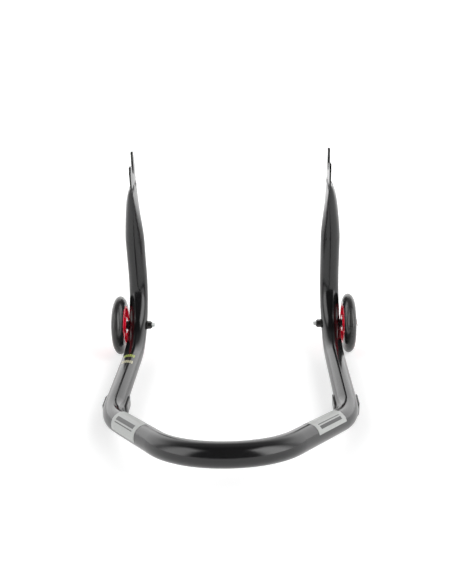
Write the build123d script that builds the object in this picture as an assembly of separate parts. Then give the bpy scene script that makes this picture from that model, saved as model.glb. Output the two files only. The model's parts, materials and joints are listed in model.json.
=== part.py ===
from build123d import *
from math import asin, atan, cos, hypot, pi, radians, sin, sqrt, tan
import os

# Rear paddock stand: one bent steel tube on two small wheels and two saddle feet.
# +Y points from the handle to the uprights, +X to the right, +Z up, floor at Z = 0.

# ---------------------------------------------------------------- driving dimensions, mm
TUBE_R = 17.5                 # 35 mm tube
WALL = 2.0
BEND_R = 110.0                # centreline radius of every bend
WHEEL_R = 55.0                # 110 mm scooter wheel
FOOT_SOLE = 6.0               # plastic under the tube at each foot

LOWER_HALF = 181.0            # half the distance between the tube axes at the lower bends
REAR_HALF = 184.0             # the same at the rear bends
TOP_HALF = 178.0              # the same at FORK_LEVEL
FORK_LEVEL = 360.0
LEAN = 8.0                    # degrees that the uprights lean back towards the handle
SIDE_RUN = 291.0              # axle to rear bend corner, along Y
LEG_REACH = 294.0             # rear bend corner to handle corner, along Y
LEG_RISE = 80.5               # the handle corner above the side runs

# ---------------------------------------------------------------- crushed ends
ROUND_END = 216.0             # level where the tube stops being round
PLATE_START = 325.0           # level where it is crushed flat
PLATE_HALF = 27.0             # half the width of the crushed plate
PLATE_IN = 7.0                # its inner face, inboard of the tube axis
PLATE_OUT = 3.0               # its outer face
CRUSH_STEPS = 9               # cross-sections from round to flat
CRUSH_POWER = 1.3             # 1 closes the tube evenly up the taper, more closes it later
INNER_EASE = 0.55             # share of the inner side's travel that starts and ends level
OUTER_FOLD = 0.42             # share of the outer side's travel kept for the fold below the plate
FOLD_POWER = 8
WIDEN_POWER = 1.5             # as CRUSH_POWER, for the width
MIDDLE_END = 0.75             # share of the taper where the widest line has reached the plate's middle
VOID_SHARE = 0.97             # how far up the taper the hollow reaches
VOID_TIP = 0.3                # thickness of the hollow where the walls meet

NOTCH_R = 8.5                 # fork notch for a bobbin
NOTCH_LEVEL = 351.5           # height of the notch circle's centre
NEAR_PRONG = 9.5              # short rear prong above the circle's centre
FAR_PRONG = 26.8              # tall front prong above the circle's centre
REAR_TIP = -21.5              # outer corners of the two prong tips
FRONT_TIP = 18.0
THROAT_FLARE = 2.0            # how far the throat widens on each side
SHOULDER = -3.0               # where the prongs start to narrow
TIP_R = 3.0
SHOULDER_R = 12.0

# ---------------------------------------------------------------- axle and wheels
BOLT_R = 4.0                  # M8
BOLT_LENGTH = 80.0
BOLT_POINT = 0.8
HEAD_R = 7.0
HEAD_HEIGHT = 4.4
HEAD_RIM = 1.0                # straight side of the head
HEAD_FLAT_R = 3.6             # flat on top of it
SOCKET_FLATS = 5.0
SOCKET_DEPTH = 2.6
SLEEVE_R = 8.0
SLEEVE_BORE = 4.1
SLEEVE_PROUD = 2.0            # sleeve beyond the tube, outboard
SLEEVE_INNER_PROUD = 0.3      # sleeve beyond the tube, inboard
SPACER_R = 5.9                # small spacers that bear on the bearings' inner races only
SPACER_T = 1.0
WASHER_R = 8.0                # plain M8 washers under the head and the nut
WASHER_T = 1.6
WASHER_BEVEL = 0.3
NUT_FLATS = 13.0
NUT_HEIGHT = 8.0
NUT_CORNER_R = 7.43
NUT_BEVEL = 0.7
INSERT_HEIGHT = 1.9
INSERT_SUNK = 0.3
COLLAR_R = 6.1
INSERT_R = 5.3
CORE_WIDTH = 24.0
CORE_R = 37.0
HUB_R = 15.0
HUB_BORE_R = 9.0
HUB_EDGE_R = 1.0
RIM_R = 33.0                  # inner radius of the core's rim
RIM_WIDTH = 22.6
RIM_EDGE_R = 0.8
WEB_WIDTH = 15.0
SPOKES = 6
SPOKE_WIDTH = 6.5
WINDOW_R = 2.5                # corners of the windows between spokes
WINDOW_EDGE_R = 1.2
BEAD_WIDTH = 8.0              # ridge round the rim that keys the tyre
BEAD_HEIGHT = 2.5
TYRE_HALF = 10.8              # half the tyre's width
TYRE_SIDE = 1.5               # straight part of the tyre's side above the core

# 608 bearing
RACE_BORE = 4.0
RACE_INNER_R = 6.05           # outside of the inner race
RACE_OUTER_R = 8.9            # inside of the outer race
RACE_R = 11.0
RACE_WIDTH = 7.0
BALL_R = 1.95
BALL_PITCH_R = 7.5
GROOVE_R = 2.05
BALLS = 7
CAGE_HALF = 2.8
CAGE_RING = 0.6
CAGE_T = 1.4
CAGE_FINGER = 1.6
SHIELD_T = 0.4
SHIELD_BORE = 6.12
SHIELD_INSET = 0.2            # from the inner race's face
RACE_INSET = 0.05             # outer race behind the inner race's face
BEARING_SPACER_R = 5.5

# ---------------------------------------------------------------- feet and decals
FOOT_BACK = 244.5             # foot centre behind the axle
FOOT_LENGTH = 50.0
FOOT_WIDTH = 40.5
FOOT_TOP = 25.5
FOOT_CORNER_R = 12.0
FOOT_BILGE_R = 11.0           # rounding between the sides and the sole
GROOVE_GAP = 0.8              # between the tube and the saddle's sides
SCREW_R = 2.5
SCREW_HEAD_R = 4.75
SCREW_HEAD_T = 2.7
SCREW_HEAD_Z = 1.0
SCREW_HEAD_BEVEL = 0.6
SCREW_TOP = 18.0
SCREW_POINT = 1.2
SCREW_GAP = 0.3               # round the screw in the foot
CROSS_LENGTH = 5.0            # recess in the screw's head
CROSS_WIDTH = 1.2
CROSS_DEPTH = 1.6
DECAL_T = 0.25
DECAL_START = 47.0            # along the leg from the rear bend corner
DECAL_LENGTH = 88.0
DECAL_SPAN = 125.0            # degrees round the tube
DECAL_LEFT_MID = -41.0        # centre of each decal, from the top of the leg towards its front
DECAL_RIGHT_MID = -8.0

# ---------------------------------------------------------------- derived places
RUN_Z = FOOT_SOLE + TUBE_R
LEG = Vector(-REAR_HALF, LEG_REACH, -LEG_RISE)       # handle corner to left rear corner
HALF_ANGLE = asin(REAR_HALF / LEG.length)
SPINE = sqrt(LEG_REACH**2 + LEG_RISE**2)
APEX_IN = BEND_R * (1 / sin(HALF_ANGLE) - 1) * LEG_REACH / SPINE
DEPTH = WHEEL_R + SIDE_RUN + LEG_REACH - APEX_IN + TUBE_R
AXLE_Y = DEPTH / 2 - WHEEL_R
AXLE_Z = WHEEL_R

LOWER_TANGENT = BEND_R * tan(radians(90 + LEAN) / 2)
AXLE_AHEAD = sqrt(BEND_R**2 - (RUN_Z + BEND_R - AXLE_Z) ** 2)
LOWER_Y = AXLE_Y + LOWER_TANGENT - AXLE_AHEAD
REAR_Y = AXLE_Y - SIDE_RUN
AXLE_X = LOWER_HALF + (REAR_HALF - LOWER_HALF) * (LOWER_Y - AXLE_Y) / (LOWER_Y - REAR_Y)

UP_RISE = FORK_LEVEL - RUN_Z
LOWER_CORNER = Vector(-LOWER_HALF, LOWER_Y, RUN_Z)
REAR_CORNER = Vector(-REAR_HALF, REAR_Y, RUN_Z)
HANDLE_CORNER = Vector(0, REAR_Y - LEG_REACH, RUN_Z + LEG_RISE)
UP = Vector(LOWER_HALF - TOP_HALF, -UP_RISE * tan(radians(LEAN)), UP_RISE).normalized()
FORE = (Vector(0, 1, 0) - UP * UP.Y).normalized()

SLEEVE_OUT = AXLE_X + TUBE_R + SLEEVE_PROUD
SLEEVE_IN = AXLE_X - TUBE_R - SLEEVE_INNER_PROUD
HUB_IN = SLEEVE_OUT + SPACER_T
HUB_OUT = HUB_IN + CORE_WIDTH
WHEEL_X = (HUB_IN + HUB_OUT) / 2
HEAD_FACE = HUB_OUT + SPACER_T + WASHER_T
NUT_FACE = SLEEVE_IN - WASHER_T

BASE = (Align.CENTER, Align.CENTER, Align.MIN)


def flip(shape):
    """The right-hand twin of a left-hand shape."""
    return mirror(shape, about=Plane.YZ)


def corner(point):
    """The right-hand twin of a left-hand corner."""
    return Vector(-point.X, point.Y, point.Z)


def on_upright(level):
    """Point on the left upright's axis at a height."""
    return LOWER_CORNER + UP * ((level - RUN_Z) / UP.Z)


def along_x(start, end, radius, bore=0.0):
    """Round bar or ring on the left axle, between two distances from the centre plane."""
    low, high = sorted((-start, -end))
    plane = Plane(origin=(low, AXLE_Y, AXLE_Z), x_dir=(0, 1, 0), z_dir=(1, 0, 0))
    face = Circle(radius) - Circle(bore) if bore else Circle(radius)
    return extrude(plane * face, high - low)


# ---------------------------------------------------------------- frame tube
def tube_path():
    """Centreline of the round part of the tube, from upright to upright."""
    top = on_upright(ROUND_END)
    half = [top, LOWER_CORNER, REAR_CORNER]
    points = half + [HANDLE_CORNER] + [corner(p) for p in reversed(half)]
    return FilletPolyline(*points, radius=BEND_R)


def rod(path, radius):
    """Round solid that follows the tube's centreline."""
    start = Plane(origin=path @ 0, z_dir=path % 0)
    return sweep(start * Circle(radius), path=path)


def half_oval(half_width, height):
    """Corner radius and corner angle of a tangent-arc half oval."""
    flatness = tan(radians(22.5)) * (height / half_width) ** 1.3
    radius = (height - half_width * flatness) / (1 - flatness)
    return radius, pi / 2 - 2 * atan(flatness)


def smooth(share):
    """Rise from 0 to 1 with level ends."""
    share = min(max(share, 0.0), 1.0)
    return share * share * (3 - 2 * share)


def crush_section(share, inset=0.0):
    """Cross-section of the crushed tube, six tangent arcs; share runs from 0, round, to 1, flat.

    The inboard side slopes gently, and the outboard side folds in steeply just below the plate.
    """
    steady = share**CRUSH_POWER
    inner_travel = (1 - INNER_EASE) * steady + INNER_EASE * smooth(share)
    outer_travel = (1 - OUTER_FOLD) * steady + OUTER_FOLD * share**FOLD_POWER
    inner = TUBE_R + (PLATE_IN - TUBE_R) * inner_travel
    outer = -TUBE_R + (PLATE_OUT + TUBE_R) * outer_travel
    widest = (PLATE_IN + PLATE_OUT) / 2 * smooth(share / MIDDLE_END)
    half_width = TUBE_R + (PLATE_HALF - TUBE_R) * share**WIDEN_POWER - inset
    outer_height = max(widest - outer - inset, VOID_TIP / 2)
    inner_height = max(inner - inset - widest, VOID_TIP / 2)
    edges = []
    for side, height in ((1, outer_height), (-1, inner_height)):
        radius, angle = half_oval(half_width, height)
        centre = half_width - radius

        def rim(turn, sign):
            return (sign * (centre + radius * cos(turn)), side * radius * sin(turn))

        edges.append(ThreePointArc((half_width, 0), rim(angle / 2, 1), rim(angle, 1)))
        edges.append(ThreePointArc(rim(angle, 1), (0, side * height), rim(angle, -1)))
        edges.append(ThreePointArc(rim(angle, -1), rim(angle / 2, -1), (-half_width, 0)))
    face = make_face(Curve() + edges)
    level = ROUND_END + (PLATE_START - ROUND_END) * share
    plane = Plane(origin=on_upright(level), x_dir=FORE, z_dir=UP)
    return plane * Pos(0, -widest) * face


def fork_outline():
    """Side view of the fork: x towards the front, y up the leaning tube, from the notch centre."""
    rear_tip = (-NOTCH_R - THROAT_FLARE, NEAR_PRONG)
    front_tip = (NOTCH_R + THROAT_FLARE, FAR_PRONG)
    foot = NOTCH_R - 2 * PLATE_HALF
    outside = Polyline(
        rear_tip, (REAR_TIP, NEAR_PRONG), (-PLATE_HALF, SHOULDER), (-PLATE_HALF, foot),
        (PLATE_HALF, foot), (PLATE_HALF, SHOULDER), (FRONT_TIP, FAR_PRONG), front_tip)
    notch = ThreePointArc((NOTCH_R, 0), (0, -NOTCH_R), (-NOTCH_R, 0))
    throat = [Line(front_tip, (NOTCH_R, 0)), notch, Line((-NOTCH_R, 0), rear_tip)]
    profile = make_face(Curve() + [outside, *throat])
    profile = fillet([v for v in profile.vertices() if v.Y > NEAR_PRONG - 0.1], TIP_R)
    return fillet([v for v in profile.vertices() if abs(v.Y - SHOULDER) < 0.1], SHOULDER_R)


def crushed_end():
    """Left crushed end: taper and plate, and the taper's void."""
    shares = [i / (CRUSH_STEPS - 1) for i in range(CRUSH_STEPS)]
    skin = loft([crush_section(share) for share in shares])
    plate = crush_section(1.0)
    plate_length = (NOTCH_LEVEL - PLATE_START) / UP.Z + FAR_PRONG
    blade = extrude(plate, plate_length, dir=UP)
    side_view = Plane(origin=on_upright(NOTCH_LEVEL), x_dir=FORE, z_dir=(1, 0, 0))
    blade &= extrude(side_view * fork_outline(), 2 * TUBE_R, both=True)
    void = loft([crush_section(share * VOID_SHARE, WALL) for share in shares])
    return skin, blade, void


def axle_bore():
    """Hole through the left lower bend for the sleeve."""
    return along_x(AXLE_X - 2 * TUBE_R, AXLE_X + 2 * TUBE_R, SLEEVE_R)


def foot_place():
    """Left foot's centre on the floor."""
    share = (LOWER_Y - (AXLE_Y - FOOT_BACK)) / (LOWER_Y - REAR_Y)
    x = -(LOWER_HALF + (REAR_HALF - LOWER_HALF) * share)
    return Vector(x, AXLE_Y - FOOT_BACK, 0)


def make_frame(path):
    skin, blade, void = crushed_end()
    frame = rod(path, TUBE_R) + skin + flip(skin) + blade + flip(blade)
    for hollow in (rod(path, TUBE_R - WALL), void, flip(void)):
        frame -= hollow
    hole = Pos(foot_place()) * Cylinder(SCREW_R, RUN_Z, align=BASE)
    for tool in (axle_bore(), hole):
        frame -= tool
        frame -= flip(tool)
    return frame


# ---------------------------------------------------------------- axle stack, left side
def make_sleeve():
    return along_x(SLEEVE_IN, SLEEVE_OUT, SLEEVE_R, SLEEVE_BORE)


def make_bolt():
    """Button-head bolt with a hexagon socket."""
    shank = along_x(HEAD_FACE - BOLT_LENGTH, HEAD_FACE, BOLT_R)
    shank = chamfer(shank.edges().group_by(Axis.X)[-1], BOLT_POINT)
    plane = Plane(origin=(-HEAD_FACE, AXLE_Y, AXLE_Z), x_dir=(0, 1, 0), z_dir=(-1, 0, 0))
    base = Polyline((0, 0), (HEAD_R, 0), (HEAD_R, HEAD_RIM))
    crown = TangentArc((HEAD_R, HEAD_RIM), (HEAD_FLAT_R, HEAD_HEIGHT), tangent=(0, 1))
    top = Polyline((HEAD_FLAT_R, HEAD_HEIGHT), (0, HEAD_HEIGHT), (0, 0))
    head = revolve(Plane.XZ * make_face(Curve() + [base, crown, top]), Axis.Z)
    hexagon = RegularPolygon(SOCKET_FLATS / 2, 6, major_radius=False)
    socket = Pos(0, 0, HEAD_HEIGHT - SOCKET_DEPTH) * extrude(hexagon, HEAD_HEIGHT)
    return shank + plane * (head - socket)


def make_nut():
    """Hexagon nut with a domed collar that holds a plastic locking ring."""
    plane = Plane(origin=(-NUT_FACE, AXLE_Y, AXLE_Z), x_dir=(0, 1, 0), z_dir=(1, 0, 0))
    hexagon = RegularPolygon(NUT_FLATS / 2, 6, major_radius=False)
    hex_height = NUT_HEIGHT - INSERT_HEIGHT
    body = extrude(hexagon, hex_height) & chamfered_disc(NUT_CORNER_R, hex_height, NUT_BEVEL)
    collar = Pos(0, 0, hex_height) * Cylinder(COLLAR_R, INSERT_HEIGHT, align=BASE)
    seat = Pos(0, 0, hex_height) * Cylinder(INSERT_R, INSERT_HEIGHT, align=BASE)
    collar = fillet(collar.edges().group_by(Axis.Z)[-1], NUT_BEVEL)
    return plane * (body + (collar - seat) - Cylinder(BOLT_R, 4 * NUT_HEIGHT))


def chamfered_disc(radius, height, bevel):
    disc = Cylinder(radius, height, align=BASE)
    return chamfer(disc.edges().filter_by(GeomType.CIRCLE), bevel)


def make_nut_insert():
    seat = NUT_FACE - NUT_HEIGHT + INSERT_HEIGHT
    return along_x(seat, seat - INSERT_HEIGHT + INSERT_SUNK, INSERT_R, BOLT_R)


def make_spacer(start):
    return along_x(start, start + SPACER_T, SPACER_R, BOLT_R)


def make_washer(start):
    ring = along_x(start, start + WASHER_T, WASHER_R, BOLT_R)
    rims = [e for e in ring.edges().filter_by(GeomType.CIRCLE) if abs(e.radius - WASHER_R) < 0.01]
    return chamfer(rims, WASHER_BEVEL)


# ---------------------------------------------------------------- wheel, left side
def make_core():
    """Spoked plastic core: hub with two bearing seats, web with windows, rim with a bead for the tyre."""
    place = Plane(origin=(-WHEEL_X, AXLE_Y, AXLE_Z), x_dir=(0, 1, 0), z_dir=(1, 0, 0))
    windows = Circle(RIM_R) - Circle(HUB_R)
    for i in range(SPOKES):
        spoke = Pos(RIM_R / 2, 0) * Rectangle(RIM_R, SPOKE_WIDTH)
        windows -= Rot(0, 0, i * 360 / SPOKES) * spoke
    windows = fillet(windows.vertices(), WINDOW_R)
    web = extrude(Circle(CORE_R - 1) - windows, WEB_WIDTH / 2, both=True)
    window_rims = [e for e in web.edges() if abs(abs(e.center().Z) - WEB_WIDTH / 2) < 0.01 and on_window(e)]
    web = fillet(window_rims, WINDOW_EDGE_R)
    hub = along_x(HUB_IN, HUB_OUT, HUB_R)
    hub = fillet(hub.edges().filter_by(GeomType.CIRCLE), HUB_EDGE_R)
    rim = along_x(WHEEL_X - RIM_WIDTH / 2, WHEEL_X + RIM_WIDTH / 2, CORE_R, RIM_R)
    rim = fillet(rim.edges().filter_by(GeomType.CIRCLE), RIM_EDGE_R)
    bead = along_x(WHEEL_X - BEAD_WIDTH / 2, WHEEL_X + BEAD_WIDTH / 2, CORE_R + BEAD_HEIGHT, CORE_R - 1)
    core = hub + rim + bead + place * web
    core -= along_x(HUB_IN - 1, HUB_IN + RACE_WIDTH, RACE_R)
    core -= along_x(HUB_OUT + 1, HUB_OUT - RACE_WIDTH, RACE_R)
    return core - along_x(HUB_IN, HUB_OUT, HUB_BORE_R)


def on_window(edge):
    """True for an edge between the hub and the rim."""
    middle = edge @ 0.5
    return HUB_R - 0.1 < hypot(middle.X, middle.Y) < RIM_R + 0.1


def make_tyre():
    """Tyre moulded onto the core, narrowing to a round crown."""
    side, bead, bead_r = CORE_R + TYRE_SIDE, BEAD_WIDTH / 2, CORE_R + BEAD_HEIGHT
    right = [(bead, bead_r), (bead, CORE_R), (TYRE_HALF, CORE_R), (TYRE_HALF, side)]
    left = [(-x, y) for x, y in reversed(right)]
    tread = EllipticalCenterArc((0, side), TYRE_HALF, WHEEL_R - side, start_angle=0, arc_size=180)
    face = make_face(Curve() + [Polyline(*right), tread, Polyline(*left), Line(left[-1], right[0])])
    return Pos(-WHEEL_X, AXLE_Y, AXLE_Z) * revolve(face, Axis.X)


def bearing_groove(middle):
    ring = Torus(BALL_PITCH_R, GROOVE_R)
    return Pos(-middle, AXLE_Y, AXLE_Z) * Rot(0, 90, 0) * ring


def cage_ring():
    return Cylinder(BALL_PITCH_R + CAGE_T / 2, CAGE_RING) - Cylinder(BALL_PITCH_R - CAGE_T / 2, CAGE_RING)


def make_bearing(start):
    """608 bearing as inner race, outer race, balls, cage and two shields."""
    end = start + RACE_WIDTH
    middle = start + RACE_WIDTH / 2
    groove = bearing_groove(middle)
    inner = along_x(start, end, RACE_INNER_R, RACE_BORE) - groove
    outer = along_x(start + RACE_INSET, end - RACE_INSET, RACE_R, RACE_OUTER_R) - groove
    centre = Plane(origin=(-middle, AXLE_Y, AXLE_Z), x_dir=(0, 1, 0), z_dir=(1, 0, 0))
    balls = []
    cage = Pos(0, 0, CAGE_HALF - CAGE_RING / 2) * cage_ring()
    for i in range(BALLS):
        turn = 360 / BALLS
        balls.append(centre * Rot(0, 0, i * turn) * Pos(BALL_PITCH_R, 0) * Sphere(BALL_R))
        finger = Pos(BALL_PITCH_R, 0) * Box(CAGE_T, CAGE_FINGER, 2 * CAGE_HALF - CAGE_RING)
        cage += Rot(0, 0, (i + 0.5) * turn) * finger
    shield_starts = (start + SHIELD_INSET, end - SHIELD_INSET - SHIELD_T)
    shields = [along_x(place, place + SHIELD_T, RACE_OUTER_R, SHIELD_BORE) for place in shield_starts]
    return {
        "inner_race": inner,
        "outer_race": outer,
        "balls": Compound(children=balls),
        "cage": centre * cage,
        "shields": Compound(children=shields),
    }


# ---------------------------------------------------------------- foot, left side
def make_foot(path):
    """Moulded saddle foot: boat-shaped cup with a small flat sole and a groove for the tube."""
    block = extrude(RectangleRounded(FOOT_WIDTH, FOOT_LENGTH, FOOT_CORNER_R), FOOT_TOP)
    block = fillet(block.edges().group_by(Axis.Z)[0], FOOT_BILGE_R)
    groove_r = TUBE_R + GROOVE_GAP
    groove_z = RUN_Z + GROOVE_GAP
    channel = Pos(0, 0, groove_z) * Rot(90, 0, 0) * Cylinder(groove_r, 2 * FOOT_LENGTH)
    opening = Pos(0, 0, groove_z) * Box(2 * groove_r, 2 * FOOT_LENGTH, 2 * TUBE_R, align=BASE)
    foot = Pos(foot_place()) * (block - channel - opening)
    recess = Cylinder(SCREW_HEAD_R + SCREW_GAP, SCREW_HEAD_Z + SCREW_HEAD_T, align=BASE)
    shaft = Cylinder(SCREW_R + SCREW_GAP, RUN_Z, align=BASE)
    return foot - rod(path, TUBE_R) - Pos(foot_place()) * (recess + shaft)


def make_foot_screw():
    head = chamfered_disc(SCREW_HEAD_R, SCREW_HEAD_T, SCREW_HEAD_BEVEL)
    cross = Box(CROSS_LENGTH, CROSS_WIDTH, CROSS_DEPTH, align=BASE)
    cross += Box(CROSS_WIDTH, CROSS_LENGTH, CROSS_DEPTH, align=BASE)
    shank = Cylinder(SCREW_R, SCREW_TOP - SCREW_HEAD_Z, align=BASE)
    shank = chamfer(shank.edges().group_by(Axis.Z)[-1], SCREW_POINT)
    return Pos(foot_place()) * Pos(0, 0, SCREW_HEAD_Z) * (head + shank - cross)


# ---------------------------------------------------------------- decal
def make_decal(side, middle):
    """Thin film wrapped part of the way round one leg."""
    start = REAR_CORNER if side < 0 else corner(REAR_CORNER)
    run = (HANDLE_CORNER - start).normalized()
    up = (Vector(0, 0, 1) - run * run.Z).normalized()
    plane = Plane(origin=start + run * DECAL_START, x_dir=up, z_dir=run)
    turn = side * middle
    ring = Circle(TUBE_R + DECAL_T) - Circle(TUBE_R)
    spread = 3 * TUBE_R
    half_span = radians(DECAL_SPAN / 2)
    corner_x, corner_y = spread * cos(half_span), spread * sin(half_span)
    outline = [(0, 0), (corner_x, -corner_y), (spread, -corner_y), (spread, corner_y), (corner_x, corner_y)]
    wedge = make_face(Polyline(*outline, close=True))
    return extrude(plane * Rot(0, 0, turn) * (ring & wedge), DECAL_LENGTH)


def main():
    path = tube_path()
    nodes = {"frame_tube": make_frame(path)}
    left = {
        "axle_sleeve": make_sleeve(),
        "axle_bolt": make_bolt(),
        "lock_nut": make_nut(),
        "nut_insert": make_nut_insert(),
        "inner_spacer": make_spacer(SLEEVE_OUT),
        "outer_spacer": make_spacer(HUB_OUT),
        "head_washer": make_washer(HUB_OUT + SPACER_T),
        "nut_washer": make_washer(NUT_FACE),
        "bearing_spacer": along_x(HUB_IN + RACE_WIDTH, HUB_OUT - RACE_WIDTH, BEARING_SPACER_R, BOLT_R),
        "wheel_core": make_core(),
        "tyre": make_tyre(),
        "foot": make_foot(path),
        "foot_screw": make_foot_screw(),
    }
    for label, start in (("inboard", HUB_IN), ("outboard", HUB_OUT - RACE_WIDTH)):
        for piece, shape in make_bearing(start).items():
            left[f"{label}_{piece}"] = shape
    for name, shape in left.items():
        nodes[name + "_left"] = shape
        nodes[name + "_right"] = flip(shape)
    nodes["decal_left"] = make_decal(-1, DECAL_LEFT_MID)
    nodes["decal_right"] = make_decal(1, DECAL_RIGHT_MID)
    return nodes


if __name__ == "__main__":
    os.makedirs("parts", exist_ok=True)
    print(f"axle x {AXLE_X:.2f} y {AXLE_Y:.2f}, wheel middle {WHEEL_X:.2f}, depth {DEPTH:.2f}")
    for node_name, node_shape in main().items():
        export_step(node_shape, f"parts/{node_name}.step")
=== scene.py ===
import bpy
import bmesh
import json
import math
from mathutils import Matrix, Vector


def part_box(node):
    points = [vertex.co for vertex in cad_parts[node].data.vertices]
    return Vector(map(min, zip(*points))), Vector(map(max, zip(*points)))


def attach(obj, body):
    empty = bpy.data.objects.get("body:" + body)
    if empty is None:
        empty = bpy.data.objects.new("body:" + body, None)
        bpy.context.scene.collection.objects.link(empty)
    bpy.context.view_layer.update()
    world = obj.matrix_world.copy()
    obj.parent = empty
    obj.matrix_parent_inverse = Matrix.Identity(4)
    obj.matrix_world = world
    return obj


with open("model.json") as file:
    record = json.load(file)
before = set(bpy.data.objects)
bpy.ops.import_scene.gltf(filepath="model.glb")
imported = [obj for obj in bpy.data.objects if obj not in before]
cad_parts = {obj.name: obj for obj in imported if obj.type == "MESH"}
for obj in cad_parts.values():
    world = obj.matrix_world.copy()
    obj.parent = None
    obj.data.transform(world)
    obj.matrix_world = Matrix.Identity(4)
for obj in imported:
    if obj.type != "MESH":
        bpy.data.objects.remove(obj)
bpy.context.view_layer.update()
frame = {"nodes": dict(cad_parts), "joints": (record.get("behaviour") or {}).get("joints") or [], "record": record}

# ---------------------------------------------------------------- places in the CAD model, metres
AXLE = Vector(frame["joints"][1]["pos_m"])     # middle of the right wheel's axle hole
WHEEL_LOW, WHEEL_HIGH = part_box("tyre_right")
WHEEL_X = (WHEEL_LOW[0] + WHEEL_HIGH[0]) / 2
TUBE_R = 0.0175
SHANK_R = 0.004               # M8 wheel bolt
FILM = 0.00025                # thickness of the decals
RUN_Z = 0.0235                # axis of the side runs above the floor
REAR_CORNER = Vector((0.184, AXLE.y - 0.291, RUN_Z))
LOWER_CORNER = Vector((0.181, AXLE.y + 0.0495, RUN_Z))
HANDLE_CORNER = Vector((0, REAR_CORNER.y - 0.294, RUN_Z + 0.0805))
LEFT_DECAL_TURN = 41.0        # each decal's middle, degrees from the top of its leg
RIGHT_DECAL_TURN = -8.0

# ---------------------------------------------------------------- camera
CAMERA_PLACE = (0.0462, -1.1233, 0.6211)
CAMERA_YAW, CAMERA_PITCH, CAMERA_ROLL = -0.04384, 0.35604, 0.0276     # radians
LENS = 47.87


def make_camera():
    """Camera at the photographed angle: yaw from +Y, pitch below the horizon, roll."""
    cy, sy = math.cos(CAMERA_YAW), math.sin(CAMERA_YAW)
    cp, sp = math.cos(CAMERA_PITCH), math.sin(CAMERA_PITCH)
    forward = Vector((sy * cp, cy * cp, -sp))
    level = Vector((cy, -sy, 0))
    down = forward.cross(level)
    right = math.cos(CAMERA_ROLL) * level + math.sin(CAMERA_ROLL) * down
    up = -(forward.cross(right))
    data = bpy.data.cameras.new("camera")
    data.lens = LENS
    camera = bpy.data.objects.new("camera", data)
    turn = Matrix((right, up, -forward)).transposed()
    camera.matrix_world = Matrix.Translation(CAMERA_PLACE) @ turn.to_4x4()
    bpy.context.collection.objects.link(camera)
    bpy.context.scene.camera = camera


# ---------------------------------------------------------------- node helpers
def new_material(name):
    material = bpy.data.materials.new(name)
    material.use_nodes = True
    tree = material.node_tree
    return material, tree, tree.nodes["Principled BSDF"]


def add(tree, kind, **values):
    """A node with some of its inputs set by name."""
    node = tree.nodes.new(kind)
    for key, value in values.items():
        node.inputs[key].default_value = value
    return node


def noise(tree, scale, detail=3.0, roughness=0.5):
    place = tree.nodes.new("ShaderNodeTexCoord")
    node = add(tree, "ShaderNodeTexNoise", Scale=scale, Detail=detail, Roughness=roughness)
    tree.links.new(place.outputs["Object"], node.inputs["Vector"])
    return node.outputs["Fac"]


def ramp(tree, source, low, high, start=0.3, end=0.7):
    """source mapped from start..end to low..high."""
    node = tree.nodes.new("ShaderNodeMapRange")
    node.inputs["From Min"].default_value = start
    node.inputs["From Max"].default_value = end
    node.inputs["To Min"].default_value = low
    node.inputs["To Max"].default_value = high
    tree.links.new(source, node.inputs["Value"])
    return node.outputs["Result"]


def blend_colour(tree, source, dark, light):
    node = tree.nodes.new("ShaderNodeMix")
    node.data_type = "RGBA"
    node.inputs["A"].default_value = (*dark, 1)
    node.inputs["B"].default_value = (*light, 1)
    tree.links.new(source, node.inputs["Factor"])
    return node.outputs["Result"]


def bump(tree, shader, source, distance, strength=1.0):
    node = add(tree, "ShaderNodeBump", Distance=distance, Strength=strength)
    tree.links.new(source, node.inputs["Height"])
    tree.links.new(node.outputs["Normal"], shader.inputs["Normal"])


def math_node(tree, kind, first, second=0.0):
    """One arithmetic step; each operand is a socket or a number."""
    node = tree.nodes.new("ShaderNodeMath")
    node.operation = kind
    for place, value in enumerate((first, second)):
        if isinstance(value, (int, float)):
            node.inputs[place].default_value = value
        else:
            tree.links.new(value, node.inputs[place])
    return node.outputs["Value"]


def step(tree, source, start, end, low=0.0, high=1.0):
    """Smooth rise of source from low at start to high at end."""
    node = tree.nodes.new("ShaderNodeMapRange")
    node.interpolation_type = "SMOOTHSTEP"
    for name, value in (("From Min", start), ("From Max", end), ("To Min", low), ("To Max", high)):
        node.inputs[name].default_value = value
    tree.links.new(source, node.inputs["Value"])
    return node.outputs["Result"]


def round_axle(tree):
    """Distance from the wheels' axle, angle about it, and offset from the nearer wheel's middle plane."""
    place = tree.nodes.new("ShaderNodeTexCoord")
    split = tree.nodes.new("ShaderNodeSeparateXYZ")
    tree.links.new(place.outputs["Object"], split.inputs["Vector"])
    forward = math_node(tree, "SUBTRACT", split.outputs["Y"], AXLE.y)
    height = math_node(tree, "SUBTRACT", split.outputs["Z"], AXLE.z)
    forward_square = math_node(tree, "MULTIPLY", forward, forward)
    height_square = math_node(tree, "MULTIPLY", height, height)
    radius = math_node(tree, "SQRT", math_node(tree, "ADD", forward_square, height_square))
    across = math_node(tree, "SUBTRACT", math_node(tree, "ABSOLUTE", split.outputs["X"]), WHEEL_X)
    return radius, math_node(tree, "ARCTAN2", height, forward), across


def ridge(tree, source, middle, half_width):
    """1 where source is at middle, falling to 0 at half_width from it."""
    gap = math_node(tree, "ABSOLUTE", math_node(tree, "SUBTRACT", source, middle))
    return step(tree, gap, half_width, 0.0)


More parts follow.
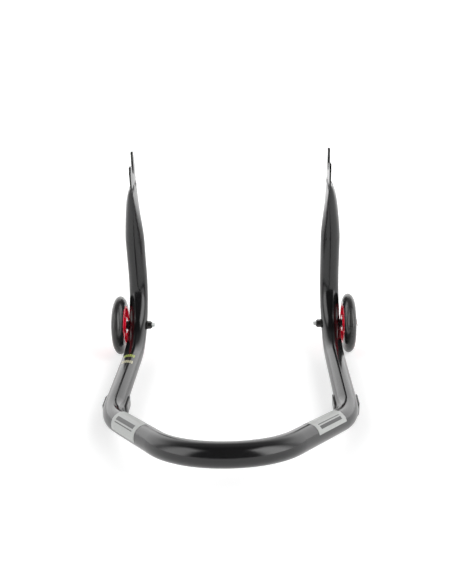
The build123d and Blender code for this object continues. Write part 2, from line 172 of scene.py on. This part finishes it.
# ---------------------------------------------------------------- materials
PAINT_DARK = (0.006, 0.006, 0.0065)
PAINT_LIGHT = (0.010, 0.010, 0.0105)
TYRE_CLEAN = (0.010, 0.010, 0.0105)
TYRE_DUSTY = (0.026, 0.025, 0.024)
ZINC_DARK = (0.66, 0.69, 0.68)
ZINC_LIGHT = (0.80, 0.82, 0.81)
CROWN_START, CROWN_END = 0.049, 0.055      # radii between which the tyre wears and gathers dust
PARTING_HALF = 0.0004
RINGS = ((0.0435, 0.0005), (0.0475, 0.0004))     # radius and half width of each moulded ring
THREAD_PITCH = 0.00125
INK = {
    "ink_dark": ((0.018, 0.019, 0.019), (0.028, 0.029, 0.029)),
    "ink_green": ((0.30, 0.37, 0.05), (0.40, 0.47, 0.10)),
    "ink_sand": ((0.46, 0.43, 0.28), (0.56, 0.52, 0.36)),
}


def painted_steel():
    """Satin black powder coat: slight orange peel, faint tone and gloss changes."""
    material, tree, shader = new_material("frame_paint")
    tone = ramp(tree, noise(tree, 9.0, 4.0), 0, 1)
    tree.links.new(blend_colour(tree, tone, PAINT_DARK, PAINT_LIGHT), shader.inputs["Base Color"])
    tree.links.new(ramp(tree, noise(tree, 30.0, 5.0), 0.13, 0.19), shader.inputs["Roughness"])
    shader.inputs["IOR"].default_value = 1.5
    bump(tree, shader, noise(tree, 420.0, 2.0), 0.00006, 0.5)
    return material


def plain(name, dark, light, roughness, metallic=0.0, grain=60.0, depth=0.0, ior=1.5):
    """A moulded or metal finish with grain in its colour, its gloss and, if asked, its relief."""
    material, tree, shader = new_material(name)
    mottle = noise(tree, grain, 4.0)
    tree.links.new(blend_colour(tree, ramp(tree, mottle, 0, 1), dark, light), shader.inputs["Base Color"])
    tree.links.new(ramp(tree, noise(tree, grain * 3, 4.0), roughness * 0.85, roughness * 1.15),
                   shader.inputs["Roughness"])
    shader.inputs["Metallic"].default_value = metallic
    shader.inputs["IOR"].default_value = ior
    if depth:
        bump(tree, shader, noise(tree, grain * 12, 2.0), depth, 0.6)
    return material


def tyre_rubber():
    """Smooth polyurethane: a parting line, two moulded rings on each side and a dusty, scuffed crown."""
    material, tree, shader = new_material("tyre_rubber")
    radius, _, across = round_axle(tree)
    patches = ramp(tree, noise(tree, 90.0, 5.0), 0.3, 1.0)
    worn = math_node(tree, "MULTIPLY", step(tree, radius, CROWN_START, CROWN_END), patches)
    tree.links.new(blend_colour(tree, worn, TYRE_CLEAN, TYRE_DUSTY), shader.inputs["Base Color"])
    tree.links.new(step(tree, worn, 0.0, 1.0, 0.22, 0.34), shader.inputs["Roughness"])
    relief = math_node(tree, "MULTIPLY", noise(tree, 700.0, 2.0), 0.12)
    relief = math_node(tree, "ADD", relief, ridge(tree, across, 0.0, PARTING_HALF))
    for ring_radius, half_width in RINGS:
        relief = math_node(tree, "ADD", relief, ridge(tree, radius, ring_radius, half_width))
    bump(tree, shader, relief, 0.0002, 0.7)
    return material


def zinc_steel():
    """Bright zinc plate, rolled M8 thread on the wheel bolts' shanks."""
    material, tree, shader = new_material("zinc_steel")
    mottle = ramp(tree, noise(tree, 60.0, 4.0), 0, 1)
    tree.links.new(blend_colour(tree, mottle, ZINC_DARK, ZINC_LIGHT), shader.inputs["Base Color"])
    tree.links.new(ramp(tree, noise(tree, 180.0, 4.0), 0.34, 0.46), shader.inputs["Roughness"])
    shader.inputs["Metallic"].default_value = 0.9
    radius, turn, across = round_axle(tree)
    along = math_node(tree, "DIVIDE", across, THREAD_PITCH)
    helix = math_node(tree, "ADD", along, math_node(tree, "DIVIDE", turn, 2 * math.pi))
    flank = math_node(tree, "PINGPONG", helix, 0.5)
    thread = math_node(tree, "MULTIPLY", flank, step(tree, radius, SHANK_R * 1.03, SHANK_R * 1.01))
    bump(tree, shader, thread, 0.0012)
    return material


MATERIALS = {
    "frame_paint": painted_steel(),
    "foot_plastic": plain(
        "foot_plastic", (0.008, 0.008, 0.008), (0.014, 0.014, 0.014), 0.2, depth=0.00005),
    "tyre_rubber": tyre_rubber(),
    "core_plastic": plain("core_plastic", (0.58, 0.005, 0.025), (0.70, 0.010, 0.042), 0.24, depth=0.00003),
    "dark_steel": plain(
        "dark_steel", (0.012, 0.012, 0.012), (0.022, 0.021, 0.02), 0.35, 0.2, depth=0.00003),
    "zinc_steel": zinc_steel(),
    "nut_nylon": plain("nut_nylon", (0.02, 0.02, 0.02), (0.03, 0.03, 0.03), 0.4),
    "bearing_steel": plain("bearing_steel", (0.45, 0.45, 0.46), (0.6, 0.6, 0.61), 0.2, 1.0),
    "bearing_shield": plain("bearing_shield", (0.012, 0.012, 0.012), (0.02, 0.02, 0.02), 0.45),
    "decal_film": plain("decal_film", (0.33, 0.34, 0.33), (0.38, 0.39, 0.38), 0.42, 0.0, 300.0),
}
for ink_name, (dark, light) in INK.items():
    MATERIALS[ink_name] = plain(ink_name, dark, light, 0.4, 0.0, 400.0)


def paint_frame_nodes():
    """Every CAD node takes the procedural material of its own slot."""
    slots = {entry["node"]: entry["material_slot"] for entry in frame["record"]["subparts"]}
    for name, node in frame["nodes"].items():
        material = MATERIALS[slots[name]]
        if not node.material_slots:
            node.data.materials.append(material)
        for place in node.material_slots:
            place.link = "OBJECT"
            place.material = material


# ---------------------------------------------------------------- printed marks
INK_T = 0.00006
ARC_STEPS = 8
STRIPE_RUN = (0.058, 0.124)   # along each leg from the rear corner
LEFT_STRIPES = ((-0.0050, 0.0015), (0.0040, 0.0056))
RIGHT_STRIPES = ((-0.0130, -0.0078), (-0.0056, -0.0042))
LABEL_ROWS = (((0.181, 0.191), "ink_green"), ((0.157, 0.167), "ink_sand"))
LABEL_BLOCKS = 6
LABEL_LOW = -0.0105           # arc from the top of the side run to the label's edge
LABEL_PITCH = 0.0035
LABEL_BLOCK = 0.72            # share of the pitch that each block fills


def tube_surface(start, end, turn, radius):
    """Gives the point on a tube at a distance along it, an arc length round it and a height above its skin.

    turn is the angle of arc length 0 from the tube's top, in degrees, positive towards the right of a
    viewer who looks from start to end.
    """
    run = (end - start).normalized()
    up = (Vector((0, 0, 1)) - run * run.z).normalized()
    sideways = run.cross(up)

    def place(along, arc, lift):
        angle = math.radians(turn) + arc / radius
        outward = up * math.cos(angle) + sideways * math.sin(angle)
        return start + run * along + outward * (radius + lift)

    return place


def mirrored(point):
    return Vector((-point.x, point.y, point.z))


def ink_bar(name, place, along, arc, ink):
    """Printed bar on the tube: along and arc are (from, to) in metres."""
    mesh = bmesh.new()
    layers = []
    for lift in (0.0, INK_T):
        rows = []
        for step_number in range(ARC_STEPS + 1):
            share = step_number / ARC_STEPS
            across = arc[0] + (arc[1] - arc[0]) * share
            rows.append([mesh.verts.new(place(edge, across, lift)) for edge in along])
        layers.append(rows)
    low, high = layers
    for i in range(ARC_STEPS):
        mesh.faces.new((high[i][0], high[i][1], high[i + 1][1], high[i + 1][0]))
        mesh.faces.new((low[i][1], low[i][0], low[i + 1][0], low[i + 1][1]))
        for side in (0, 1):
            mesh.faces.new((low[i][side], low[i + 1][side], high[i + 1][side], high[i][side]))
    for end in (0, ARC_STEPS):
        mesh.faces.new((low[end][0], low[end][1], high[end][1], high[end][0]))
    bmesh.ops.recalc_face_normals(mesh, faces=mesh.faces)
    data = bpy.data.meshes.new(name)
    mesh.to_mesh(data)
    mesh.free()
    bar = bpy.data.objects.new(name, data)
    bpy.context.collection.objects.link(bar)
    data.materials.append(MATERIALS[ink])
    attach(bar, "stand")


def print_decals():
    """A plain broad stripe and a thin one along each decal."""
    left = tube_surface(mirrored(REAR_CORNER), HANDLE_CORNER, LEFT_DECAL_TURN, TUBE_R + FILM)
    right = tube_surface(REAR_CORNER, HANDLE_CORNER, RIGHT_DECAL_TURN, TUBE_R + FILM)
    for side, place, stripes in (("left", left, LEFT_STRIPES), ("right", right, RIGHT_STRIPES)):
        for number, arc in enumerate(stripes):
            ink_bar(f"{side}_stripe_{number}", place, STRIPE_RUN, arc, "ink_dark")


def print_label():
    """Small two-row label of plain blocks on top of the left side run."""
    run = tube_surface(mirrored(REAR_CORNER), mirrored(LOWER_CORNER), 0.0, TUBE_R)
    for row, (along, ink) in enumerate(LABEL_ROWS):
        for block in range(LABEL_BLOCKS):
            start = LABEL_LOW + block * LABEL_PITCH
            arc = (start, start + LABEL_PITCH * LABEL_BLOCK)
            ink_bar(f"label_{row}_{block}", run, along, arc, ink)


# ---------------------------------------------------------------- studio
FLOOR_SIZE = 14.0
FLOOR_GLOW = 0.36             # light table under the paper
COVE_LIGHT = 2.2
COVE_FULL = 0.35              # +Y part of the direction at which the cove reaches its full light
COVE_FADE = (0.4, 0.8)        # upward part of the direction between which the cove fades
COVE_ABOVE = 0.12             # share of its light that is left above
LEFT_BOX = 3.0
RIGHT_BOX = 4.2
BOX_NEAR = 132.0              # degrees from +Y to each soft box's edge nearer the camera
BOX_FAR = 92.0                # the same to its far edge
BOX_TOP = 56.0                # degrees above the horizon
NEAR_BLUR, FAR_BLUR, TOP_BLUR = 8.0, 14.0, 7.0      # half width of each soft edge, degrees
ROOM_LIGHT = 0.06


def make_floor():
    mesh = bpy.data.meshes.new("floor")
    half = FLOOR_SIZE / 2
    corners = [(-half, -half, 0), (half, -half, 0), (half, half, 0), (-half, half, 0)]
    mesh.from_pydata(corners, [], [(0, 1, 2, 3)])
    floor = bpy.data.objects.new("floor", mesh)
    bpy.context.collection.objects.link(floor)
    material, _, shader = new_material("floor_paper")
    shader.inputs["Base Color"].default_value = (0.93, 0.93, 0.93, 1)
    shader.inputs["Roughness"].default_value = 0.8
    shader.inputs["Specular IOR Level"].default_value = 0.2
    shader.inputs["Emission Color"].default_value = (1, 1, 1, 1)
    shader.inputs["Emission Strength"].default_value = FLOOR_GLOW
    floor.data.materials.append(material)


def make_world():
    """White cove beyond the wheels, a soft box on each side, dark studio above and in front of the handle."""
    world = bpy.data.worlds.new("studio")
    bpy.context.scene.world = world
    world.use_nodes = True
    tree = world.node_tree
    background = tree.nodes["Background"]
    place = tree.nodes.new("ShaderNodeTexCoord")
    split = tree.nodes.new("ShaderNodeSeparateXYZ")
    tree.links.new(place.outputs["Generated"], split.inputs["Vector"])
    across, depth, height = (split.outputs[axis] for axis in "XYZ")
    cove = step(tree, depth, 0.0, COVE_FULL, 0.0, COVE_LIGHT)
    cove_top = step(tree, height, *COVE_FADE, 1.0, COVE_ABOVE)
    total = math_node(tree, "MULTIPLY", cove, cove_top)
    for sign, strength in ((-1, LEFT_BOX), (1, RIGHT_BOX)):
        side = math_node(tree, "MULTIPLY", across, sign)
        # direction seen from above, 0 along +Y and 180 degrees behind the handle
        turn = math_node(tree, "ARCTAN2", side, depth)
        near_edge = step(tree, turn, math.radians(BOX_NEAR + NEAR_BLUR), math.radians(BOX_NEAR - NEAR_BLUR))
        far_edge = step(tree, turn, math.radians(BOX_FAR - FAR_BLUR), math.radians(BOX_FAR + FAR_BLUR))
        highest = math.sin(math.radians(BOX_TOP + TOP_BLUR))
        full = math.sin(math.radians(BOX_TOP - TOP_BLUR))
        top_edge = step(tree, height, highest, full)
        box = math_node(tree, "MULTIPLY", math_node(tree, "MULTIPLY", near_edge, far_edge), top_edge)
        total = math_node(tree, "ADD", total, math_node(tree, "MULTIPLY", box, strength))
    total = math_node(tree, "ADD", total, ROOM_LIGHT)
    background.inputs["Color"].default_value = (1, 1, 1, 1)
    tree.links.new(total, background.inputs["Strength"])


make_camera()
paint_frame_nodes()
print_decals()
print_label()
make_floor()
make_world()
bpy.context.scene.view_settings.view_transform = "Standard"
